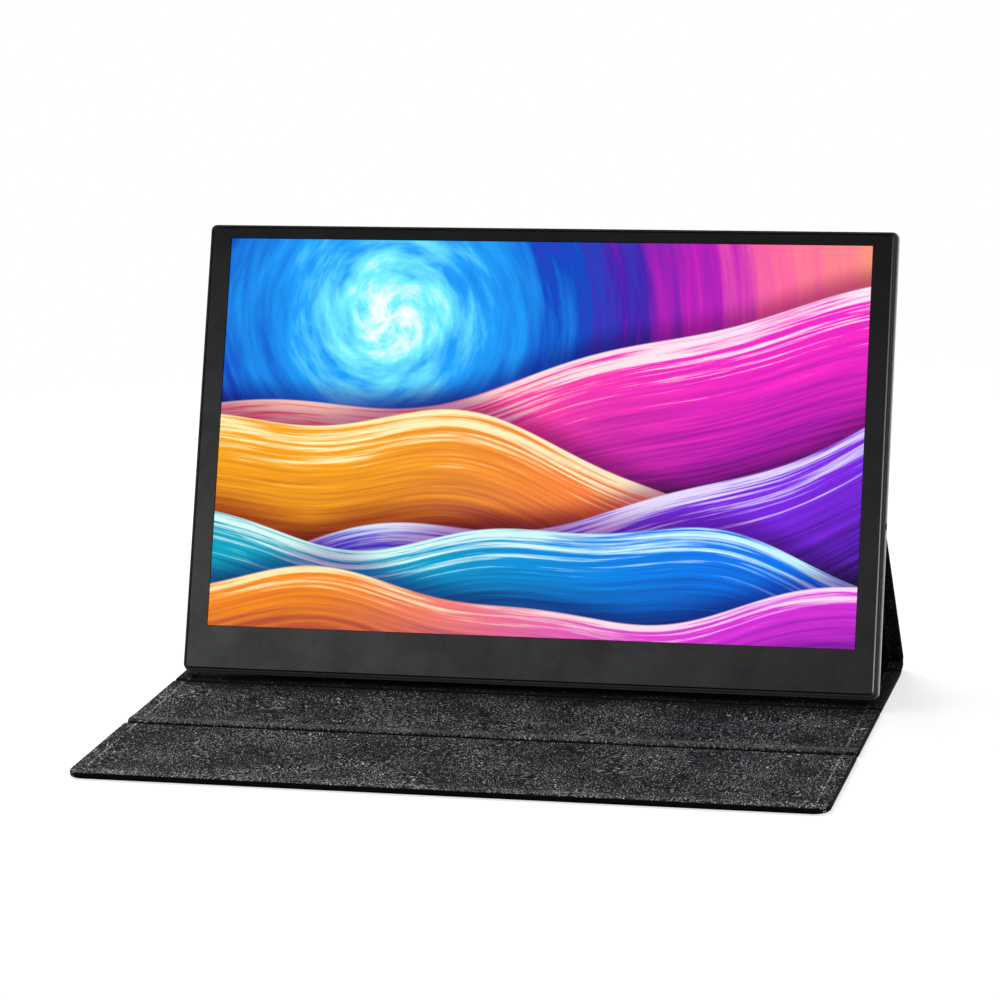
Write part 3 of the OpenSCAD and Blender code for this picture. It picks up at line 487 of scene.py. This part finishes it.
PICTURE_INSET = 1.0 * MM           # the picture stops this far inside the light guide's edge
PICTURE_SHAPE = 1.66               # the picture's width for a height of one
GLOW_AT = (0.26, 0.8)              # shares of the picture's width and height
GLOW_TWIST = 7.0                   # radians per picture height
SKY_SPREAD = 0.78                  # how much of the sky's colours one picture height goes through
SKY_RINGS = 0.08                   # how far the brush strokes shift them
SKY = (
    (0.0, (0.9, 1.0, 1.0)),
    (0.08, (0.2, 0.92, 1.0)),
    (0.2, (0.01, 0.36, 1.0)),
    (0.38, (0.0, 0.06, 0.55)),
    (0.5, (0.06, 0.01, 0.42)),
    (0.64, (0.55, 0.01, 0.5)),
    (0.8, (1.0, 0.14, 0.36)),
    (1.0, (1.0, 0.3, 0.22)),
)
SILK_STOPS = (0.0, 0.18, 0.62, 1.0)                    # where a wave's colours lie in its depth
SHADOW_TINT = (0.5, 0.27, 0.5, 1)  # the tint of the shade above each wave
SHADOW_REACH = 0.075               # and its reach, as a share of the picture's height
# Each wave: height at the left, slope, ripples (size, turns, start), depth, then crest, body and foot
# colours at the left and at the right.
WAVES = (
    (0.56, 0.27, ((0.055, 0.8, 3.0), (0.018, 2.1, 0.4)), 0.46,
        ((1.0, 0.62, 0.5), (0.98, 0.09, 0.16), (0.25, 0.0, 0.2)),
        ((1.0, 0.82, 0.95), (1.0, 0.02, 0.6), (0.16, 0.0, 0.3))),
    (0.60, -0.36, ((0.095, 0.85, 5.4), (0.02, 2.4, 2.0)), 0.44,
        ((1.0, 0.95, 0.5), (1.0, 0.4, 0.01), (0.35, 0.02, 0.01)),
        ((1.0, 0.8, 0.55), (1.0, 0.16, 0.06), (0.2, 0.0, 0.12))),
    (0.10, 0.44, ((0.06, 0.9, 0.9), (0.018, 2.3, 4.0)), 0.42,
        ((0.75, 0.85, 1.0), (0.1, 0.12, 1.0), (0.0, 0.01, 0.2)),
        ((0.8, 0.7, 1.0), (0.22, 0.02, 0.85), (0.015, 0.0, 0.12))),
    (0.33, -0.17, ((0.075, 0.85, 3.9), (0.018, 2.6, 1.0)), 0.34,
        ((0.7, 1.0, 0.95), (0.0, 0.42, 0.6), (0.0, 0.015, 0.12)),
        ((0.6, 0.95, 1.0), (0.0, 0.2, 0.95), (0.0, 0.01, 0.15))),
    (0.09, 0.02, ((0.055, 1.05, 0.6), (0.014, 2.7, 5.0)), 0.2,
        ((1.0, 0.85, 0.45), (1.0, 0.28, 0.01), (0.3, 0.01, 0.04)),
        ((1.0, 0.7, 0.9), (0.75, 0.03, 0.75), (0.08, 0.0, 0.25))),
)


def lit_screen():
    """The lit picture: layered silky waves of colour under a glowing sky, inside a black surround."""
    f = Finish("lit_screen", Base_Color=BLACK, Roughness=0.34, Specular_IOR_Level=0.1,
        Emission_Strength=1.0)
    place = f.coords()
    across, height = f.distance(place, ACROSS), f.distance(place, UP_SCREEN)
    x0, x1 = span("light_guide", ACROSS)
    h0, h1 = span("light_guide", UP_SCREEN)
    x0, x1, h0, h1 = x0 + PICTURE_INSET, x1 - PICTURE_INSET, h0 + PICTURE_INSET, h1 - PICTURE_INSET
    u, v = f.fit(across, x0, x1), f.fit(height, h0, h1)

    def muladd(a, b, c):
        return f.add("Math", {0: a, 1: b, 2: c}, operation="MULTIPLY_ADD")

    def curve(base, slope, ripples):
        """Height of a wave's crest across the picture."""
        line = muladd(u, slope, base)
        for size, turns, start in ripples:
            swing = f.calc("SINE", muladd(u, turns * math.tau, start))
            line = muladd(swing, size, line)
        return line

    glow = f.add("CombineXYZ", {0: f.times(f.minus(u, GLOW_AT[0]), PICTURE_SHAPE),
        1: f.minus(v, GLOW_AT[1])})
    far = f.add("VectorMath", {0: glow}, operation="LENGTH", out="Value")
    heading = f.add("VectorMath", {0: glow}, operation="NORMALIZE")
    wound = f.add("VectorRotate", {"Vector": heading, "Angle": f.times(far, GLOW_TWIST)},
        rotation_type="Z_AXIS")
    lifted = f.add("VectorMath", {0: f.add("CombineXYZ", {2: f.times(far, 16.0)}), 1: wound})
    rings = f.noise(lifted, 1.1, 4.0, 0.6)
    outward = f.plus(f.times(far, SKY_SPREAD), f.spread(rings, -SKY_RINGS, SKY_RINGS))
    picture = f.ramp(outward, *SKY)
    for number, (base, slope, ripples, depth, *sides) in enumerate(WAVES):
        below = f.minus(curve(base, slope, ripples), v)
        threads = f.noise(f.add("CombineXYZ", {0: f.times(u, 1.9), 1: f.times(below, 40.0),
            2: 7.0 * number}), 2.0, 5.0, 0.6)
        silk = f.plus(f.fit(below, 0.0, depth), f.fit(threads, 0.32, 0.68, -0.24, 0.24))
        tints = []
        for crest, body, foot in sides:
            deep = tuple(0.45 * a + 0.55 * b for a, b in zip(body, foot))
            tints.append(f.ramp(silk, *zip(SILK_STOPS, (crest, body, deep, foot))))
        colour = f.mix(f.fit(u, 0.15, 0.85, curve="SMOOTHSTEP"), *tints)
        dim = f.fit(below, -SHADOW_REACH, 0.0, 0.0, 1.0, "SMOOTHSTEP")
        picture = f.mix(dim, picture, f.mix(1.0, picture, SHADOW_TINT, "MULTIPLY"))
        picture = f.mix(f.fit(below, 0.0, 0.004), picture, colour)
    inside = 1.0
    for value, low, high in ((across, x0, x1), (height, h0, h1)):
        inside = f.times(inside, f.calc("GREATER_THAN", value, low))
        inside = f.times(inside, f.calc("LESS_THAN", value, high))
    return f.wire(Emission_Color=f.mix(inside, BLACK, picture))


PATTERN_TURN = (-SCREEN_SLOPE, 0, 0)                   # lays a printed pattern along the leaning screen


def board_green(name, mask, copper):
    """Circuit board: a green mask over faint traces, with metal pads."""
    f = Finish(name, Roughness=0.35)
    place = f.coords(turn=PATTERN_TURN)
    traces = f.add("TexBrick", {"Vector": place, "Scale": 260.0, "Color1": (*mask, 1),
        "Color2": tuple([c * 0.8 for c in mask] + [1]), "Mortar": tuple([c * 1.5 for c in mask] + [1]),
        "Mortar Size": 0.06}, offset=0.37)
    pads = f.fit(f.cells(place, 330.0, random=0.6), 0.16, 0.2, 1.0, 0.0)
    return f.wire(Base_Color=f.mix(f.times(pads, 0.8), traces, (*copper, 1)),
        Normal=f.bump(pads, 0.05 * MM))


def striped(name, dark, pale, pitch, share, metallic, rough):
    """Fine parallel conductors along a ribbon or cable."""
    f = Finish(name, Metallic=metallic, Roughness=rough)
    line = f.calc("LESS_THAN", f.calc("FRACT", f.times(f.split(f.coords()), 1 / pitch)), share)
    cloud = f.spread(f.noise(f.coords(), 60.0), 0.8, 1.0)
    tint = f.mix(line, (*dark, 1), (*pale, 1))
    return f.wire(Base_Color=f.mix(1.0, tint, f.neutral(cloud), "MULTIPLY"),
        Normal=f.bump(line, 0.04 * MM))


def dotted(name, base, dot, scale, rough, **shader):
    """A sheet with a fine grid of printed dots or lamps."""
    f = Finish(name, Roughness=rough, **shader)
    place = f.coords(turn=PATTERN_TURN)
    spots = f.fit(f.cells(place, scale, random=0.0), 0.22, 0.28, 1.0, 0.0)
    haze = f.spread(f.noise(place, 40.0), 0.0, 0.25)
    tint = f.mix(haze, (*base, 1), (*[c * 0.85 for c in base], 1))
    return f.wire(Base_Color=f.mix(spots, tint, (*dot, 1)), Normal=f.bump(spots, 0.02 * MM))


# ---------------------------------------------------------------- the folding cover

class Crease:
    """A fold of the cover: its place, the slope of the cover before and after it, and its valley."""

    def __init__(self, before, after, at, radius, bottom, top):
        self.before, self.after = before, after
        self.at = at
        self.turn = after - before
        self.radius = radius
        self.arc = radius * abs(self.turn) / 2             # half the bend's length
        self.cut = radius * math.tan(abs(self.turn) / 2)   # from where it starts to the sharp corner
        self.bottom, self.top = bottom, top
        self.flat = 0.0                                    # place along the flat cover
        self.rib = 0.0                                     # from the crease to the rib beside it, if any

    def height(self, distance):
        """Height of the lining this far along the cover from the crease."""
        share = (abs(distance) - self.bottom) / (self.top - self.bottom)
        share = min(1.0, max(0.0, share))
        rib = abs(distance - self.rib) / RIB_HALF if self.rib else 1.0
        swell = RIB_RISE * math.cos(min(1.0, rib) * math.pi / 2) ** 2
        return VALLEY + (INNER - VALLEY) * math.sqrt(1 - (1 - share) ** 2) + swell

    def wrap(self, distance, raised):
        """Place of a point of the flat cover, as y and z."""
        side = 1 if self.turn >= 0 else -1
        if distance <= -self.arc or self.arc == 0:
            slope = self.before if distance <= 0 else self.after
            run = distance + (self.arc - self.cut)
        elif distance >= self.arc:
            slope = self.after
            run = distance - (self.arc - self.cut)
        else:
            slope = self.before + self.turn * (distance + self.arc) / (2 * self.arc)
            centre = (self.at - along(self.before) * self.cut
                + inward(self.before) * (side * self.radius))
            return centre - inward(slope) * (side * self.radius - raised)
        return self.at + along(slope) * run + inward(slope) * raised


def along(slope):
    """Direction along the cover where it has this slope, as y and z."""
    return Vector((math.cos(slope), math.sin(slope)))


def inward(slope):
    """Direction out of its lining there."""
    return Vector((-math.sin(slope), math.cos(slope)))


def hinge_yz(name):
    """Where a joint's axis lies, as y and z."""
    place = joint(name)["pos_m"]
    return Vector((place[1], place[2]))


def cover_creases():
    """The five creases in order from the flap, placed on the flat cover, and the cover's length."""
    places = [hinge_yz(name) for name, _ in CREASES]
    front = Vector((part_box("flap_skin")[0].y, places[0].y))
    slopes = [0.0] + [math.atan2(*(b - a).yx) for a, b in zip(places, places[1:])] + [SCREEN_SLOPE]
    creases = [Crease(slopes[i], slopes[i + 1], places[i], *(n * MM for n in shape))
        for i, (_, shape) in enumerate(CREASES)]
    creases[0].flat = (places[0] - front).length
    creases[0].rib = creases[0].bottom + RIB_HALF
    for last, this in zip(creases, creases[1:]):
        gap = (this.at - last.at).length
        this.flat = last.flat + gap - (last.cut - last.arc) - (this.cut - this.arc)
    last = creases[-1]
    back_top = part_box("back_skin")[1].z
    back_run = (back_top - last.at.y - INNER * math.cos(SCREEN_SLOPE)) / math.sin(SCREEN_SLOPE)
    return creases, last.flat + back_run - (last.cut - last.arc)


def slice_at(mesh, axis, places):
    """Cuts a loop across the mesh at each place along an axis."""
    for place in places:
        bmesh.ops.bisect_plane(mesh, geom=mesh.verts[:] + mesh.edges[:] + mesh.faces[:],
            plane_co=axis * place, plane_no=axis, dist=CUT_MERGE)


def side_of(vert, length):
    """Distance from a vertex to the nearest edge of the flat cover."""
    return min(COVER_HALF - abs(vert.co.x), vert.co.y, length - vert.co.y)


def flat_cover(creases, length):
    """The whole cover laid flat: X across, Y along it from the flap's edge, Z from skin to lining."""
    mesh = bmesh.new()
    thick = SKIN + INNER
    bmesh.ops.create_cube(mesh, size=1)
    bmesh.ops.scale(mesh, vec=(2 * COVER_HALF, length, thick), verts=mesh.verts)
    bmesh.ops.translate(mesh, vec=(0, length / 2, thick / 2 - SKIN), verts=mesh.verts)
    upright = [e for e in mesh.edges if abs(e.verts[0].co.z - e.verts[1].co.z) > thick / 2]
    bmesh.ops.bevel(mesh, geom=upright, offset=CORNER_R, offset_type="OFFSET", affect="EDGES",
        segments=CORNER_STEPS, profile=0.5, material=-1)
    rim = [e for e in mesh.edges if abs(e.verts[0].co.z - e.verts[1].co.z) < thick / 2]
    bmesh.ops.bevel(mesh, geom=rim, offset=EDGE_R, offset_type="OFFSET", affect="EDGES",
        segments=EDGE_STEPS, profile=0.5, material=-1)
    top = max((f for f in mesh.faces if f.normal.z > SLOPING), key=lambda f: f.calc_area())
    for step in (BORDER - EDGE_R - LINE_HALF, LINE_HALF, LINE_HALF):
        pressed = list(top.verts)      # in the end the middle of the line, at BORDER from the edge
        bmesh.ops.inset_region(mesh, faces=[top], thickness=step, use_even_offset=True)
    bmesh.ops.translate(mesh, vec=(0, 0, -LINE_DEPTH), verts=pressed)
    slice_at(mesh, Vector((0, 0, 1)), (SEAM - 2 * LAYER_GAP, SEAM, SEAM + 2 * LAYER_GAP))
    mesh.normal_update()
    for v in [v for v in mesh.verts if abs(v.co.z - SEAM) < ON_SEAM]:
        v.co -= Vector((v.normal.x, v.normal.y, 0)).normalized() * LAYER_GAP
    rows = {round(c.flat + s * n * MM, 7) for c in creases for n in FINE_ROWS for s in (-1, 1)}
    rows |= {round(n * ROW_STEP, 7) for n in range(2, int(length / ROW_STEP))}
    slice_at(mesh, Vector((0, 1, 0)), sorted(y for y in rows if END_CLEAR < y < length - END_CLEAR))
    slice_at(mesh, ACROSS, [n * COLUMN_STEP for n in range(-COLUMNS, COLUMNS + 1)])
    return mesh


def lay_grain(mesh):
    """UVs in metres over the flat cover, carried round its edges to the outer face."""
    uv = mesh.loops.layers.uv.new("grain")
    for face in mesh.faces:
        for loop in face.loops:
            x, y, z = loop.vert.co
            drop = INNER - z
            if face.normal.z < -SLOPING:
                place = (x + OUTSIDE, y)
            elif abs(face.normal.x) > SLOPING:
                place = (math.copysign(abs(x) + drop, x), y)
            elif abs(face.normal.y) > SLOPING:
                place = (x, y + math.copysign(drop, face.normal.y))
            else:
                place = (x, y)
            loop[uv].uv = place


def press_creases(mesh, creases, length):
    """Thins the cover at its creases, draws its edges in there and lets the lining rise and fall."""
    for v in mesh.verts:
        crease = min(creases, key=lambda c: abs(v.co.y - c.flat))
        distance = v.co.y - crease.flat
        if v.co.z > INNER - ON_TOP and side_of(v, length) > BORDER + LINE_HALF:
            hill = Vector((v.co.x * SWELLS[0], v.co.y * SWELLS[1], SWELL_SLICE))
            v.co.z -= SWELL * (1 + noise.noise(hill))
        share = (crease.height(distance) + SKIN) / (INNER + SKIN)
        v.co.z = (v.co.z + SKIN) * share - SKIN
        if abs(v.co.x) > COVER_HALF - DRAW_BAND:
            v.co.x -= math.copysign(DRAW_IN, v.co.x) * (1 - share)


def cover_piece(name, flat, start, end, crease, nodes, finish, width):
    """One length of the cover from start to end, folded at its crease."""
    mesh = flat.copy()
    for place, out in ((start, -1), (end, 1)):
        if place is None:
            continue
        cut = bmesh.ops.bisect_plane(mesh, geom=mesh.verts[:] + mesh.edges[:] + mesh.faces[:],
            plane_co=(0, place, 0), plane_no=(0, out, 0), clear_outer=True, dist=CUT_MERGE)
        rim = [e for e in cut["geom_cut"] if isinstance(e, bmesh.types.BMEdge)]
        for cap in bmesh.ops.holes_fill(mesh, edges=rim)["faces"]:
            cap.smooth = False
            for edge in cap.edges:
                edge.smooth = False
    for v in mesh.verts:
        distance = v.co.y - crease.flat
        across = v.co.x * width(v.co.y) / COVER_HALF
        y, z = crease.wrap(distance, v.co.z)
        v.co = (across, y, z)
    bmesh.ops.recalc_face_normals(mesh, faces=mesh.faces)
    data = bpy.data.meshes.new(name)
    for face in mesh.faces:
        face.smooth = face.smooth or len(face.verts) < MANY_SIDED
    mesh.to_mesh(data)
    mesh.free()
    piece = bpy.data.objects.new(name, data)
    bpy.context.scene.collection.objects.link(piece)
    data.materials.append(finish)
    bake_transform(piece)
    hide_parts(*nodes)


def make_cover():
    """The cover, cut midway between its creases into five lengths that bend at one crease each."""
    creases, length = cover_creases()
    flap, front, spine, leg, back = creases
    flat = flat_cover(creases, length)
    lay_grain(flat)
    press_creases(flat, creases, length)
    front_mid = (flap.flat + front.flat) / 2
    rear_mid = (front.flat + spine.flat) / 2
    spine_mid = (spine.flat + leg.flat) / 2
    leg_mid = (leg.flat + back.flat) / 2
    finish = cover_leather(creases, front.flat)

    def width(place):
        """Half the cover's width, which narrows over the leg to that of the back panel."""
        share = min(1.0, max(0.0, (place - leg.flat) / (back.flat - leg.flat)))
        return COVER_HALF + (BACK_HALF - COVER_HALF) * share

    rows = (
        ("cover_flap", None, front_mid, flap, ("flap", "front_panel"), ("flap_skin", "flap_lining")),
        ("cover_front", front_mid, rear_mid, front, ("front_panel", "rear_panel"),
            ("front_skin", "front_lining")),
        ("cover_rear", rear_mid, spine_mid, spine, ("rear_panel", "spine"), ("rear_skin", "rear_lining")),
        ("cover_spine", spine_mid, leg_mid, leg, ("spine", "leg"),
            ("spine_skin", "spine_lining", "leg_skin", "leg_lining")),
        ("cover_back", leg_mid, None, back, ("leg", "monitor"), ("back_skin", "back_lining")),
    )
    for name, start, end, crease, bodies, nodes in rows:
        cover_piece(name, flat, start, end, crease, nodes, finish, width)
    flat.free()


# ---------------------------------------------------------------- finishes of the CAD nodes

def dress_nodes():
    """Gives every CAD node the finish of the real piece."""
    # A satin has its colour, roughness, strength of mottling, grain to the metre and depth of grain, then
    # where it differs from plastic how metallic it is and how its grain is stretched.
    finishes = {
        satin("moulded_black", grey(0.012), 0.5, 0.25, 2600.0, 0.02 * MM):
            ("mid_frame", "audio_jack", "power_switch", "menu_switch"),
        bezel_black(): ("front_bezel",),
        satin("tape_black", grey(0.006), 0.6, 0.2, 1500.0, 0.01 * MM): ("bezel_tape",),
        housing_aluminium(): ("rear_housing",),
        lit_screen(): ("lcd_glass",),
        satin("film_prism", (0.72, 0.78, 0.84), 0.3, 0.05, 4000.0, 0.02 * MM, 0.0, (0.01, 1, 1)):
            ("prism_film",),
        satin("film_diffuser", grey(0.8), 0.7, 0.05, 900.0, 0.01 * MM): ("diffuser_film",),
        dotted("guide_clear", (0.75, 0.86, 0.9), (1.0, 1.0, 1.0), 500.0, 0.15): ("light_guide",),
        satin("reflector_white", grey(0.86), 0.45, 0.04, 700.0, 0.01 * MM): ("reflector_sheet",),
        dotted("led_cream", (0.8, 0.74, 0.45), (1.0, 0.9, 0.5), 380.0, 0.4): ("led_strip",),
        satin("frame_white", grey(0.78), 0.5, 0.06, 1600.0, 0.02 * MM): ("panel_frame",),
        satin("plate_steel", (0.5, 0.51, 0.53), 0.32, 0.1, 1900.0, 0.01 * MM, 1.0, (1, 0.04, 0.04)):
            ("panel_backplate",),
        board_green("board_main", (0.012, 0.09, 0.045), (0.75, 0.55, 0.25)): ("main_board", "audio_board"),
        board_green("board_driver", (0.015, 0.11, 0.05), (0.7, 0.6, 0.4)): ("driver_board",),
        striped("ribbon_copper", (0.45, 0.2, 0.05), (0.85, 0.48, 0.2), 0.6 * MM, 0.6, 0.6, 0.35):
            ("glass_ribbons",),
        striped("cable_dark", grey(0.02), grey(0.05), 0.5 * MM, 0.5, 0.0, 0.45): ("display_cable",),
        striped("cable_pale", (0.6, 0.57, 0.5), (0.8, 0.78, 0.72), 0.5 * MM, 0.5, 0.0, 0.4):
            ("audio_cable",),
        satin("chip_resin", (0.02, 0.02, 0.022), 0.55, 0.3, 3000.0, 0.01 * MM): ("board_chips",),
        satin("spreader_foil", grey(0.5), 0.4, 0.15, 500.0, 0.02 * MM, 0.9): ("heat_spreader",),
        satin("socket_steel", (0.62, 0.62, 0.64), 0.24, 0.12, 1400.0, 0.006 * MM, 1.0):
            ("usb_c_port_lower", "usb_c_port_upper", "mini_hdmi_port"),
        satin("button_black", (0.03, 0.03, 0.033), 0.36, 0.2, 2200.0, 0.008 * MM, 0.4):
            ("power_button", "menu_wheel"),
        dotted("pipe_clear", (0.8, 0.85, 0.87), (0.95, 0.98, 1.0), 900.0, 0.2): ("led_light_pipe",),
        satin("speaker_black", grey(0.02), 0.6, 0.3, 1200.0, 0.03 * MM): ("left_speaker", "right_speaker"),
        satin("wire_red", (0.42, 0.04, 0.03), 0.45, 0.2, 900.0, 0.02 * MM): ("speaker_wires",),
        satin("magnet_nickel", (0.66, 0.65, 0.62), 0.28, 0.12, 1200.0, 0.006 * MM, 1.0):
            ("housing_magnets", "back_magnets", "rear_magnets", "flap_magnets"),
        satin("screw_dark", (0.16, 0.16, 0.17), 0.32, 0.2, 1600.0, 0.01 * MM, 1.0): ("frame_screws",),
        satin("screw_zinc", (0.58, 0.58, 0.6), 0.3, 0.15, 1600.0, 0.01 * MM, 1.0): ("board_screws",),
        satin("board_grey", (0.24, 0.2, 0.15), 0.85, 0.25, 800.0, 0.05 * MM):
            ("back_board", "leg_board", "spine_board", "rear_board", "front_board", "flap_board"),
    }
    for finish, nodes in finishes.items():
        for name in nodes:
            data = frame["nodes"][name].data
            data.materials.clear()
            data.materials.append(finish)


# ---------------------------------------------------------------- floor and surroundings

def make_floor():
    """A pale floor that keeps the object's shadow and fades to white where it is seen."""
    mesh = bmesh.new()
    bmesh.ops.create_grid(mesh, x_segments=1, y_segments=1, size=FLOOR_HALF)
    bmesh.ops.translate(mesh, vec=(0, 0, -FLOOR_DROP), verts=mesh.verts)
    data = bpy.data.meshes.new("floor")
    mesh.to_mesh(data)
    mesh.free()
    floor = bpy.data.objects.new("floor", data)
    bpy.context.scene.collection.objects.link(floor)
    f = Finish("floor_pale", Base_Color=(*grey(FLOOR_TONE), 1), Roughness=0.8, Specular_IOR_Level=0.1,
        Emission_Color=WHITE)
    seen = f.seen()
    f.wire(Emission_Strength=f.times(seen, FLOOR_LIFT))
    away = f.add("VectorMath", {0: f.coords()}, operation="LENGTH", out="Value")
    fade = f.times(seen, f.fit(away, *FLOOR_FADE, curve="SMOOTHSTEP"))
    white = f.add("Emission", {"Strength": 1.0})
    f.show(f.add("MixShader", {0: fade, 1: f.shader.outputs[0], 2: white}), "Material Output")
    data.materials.append(f.material)


def make_world():
    """Pale light all round, pure white wherever the surroundings themselves are seen."""
    world = bpy.data.worlds.new("studio")
    bpy.context.scene.world = world
    air = Tree(world)
    light = air.tree.nodes["Background"]
    light.inputs["Color"].default_value = WHITE
    light.inputs["Strength"].default_value = WORLD_LEVEL
    white = air.add("Background", {"Color": WHITE, "Strength": 1.0})
    air.show(air.add("MixShader", {0: air.seen(), 1: light.outputs[0], 2: white}), "World Output")


bpy.context.scene.view_settings.view_transform = "Standard"
set_camera()
make_floor()
make_world()
for lamp in LAMPS:
    area_lamp(*lamp)
make_cover()
dress_nodes()
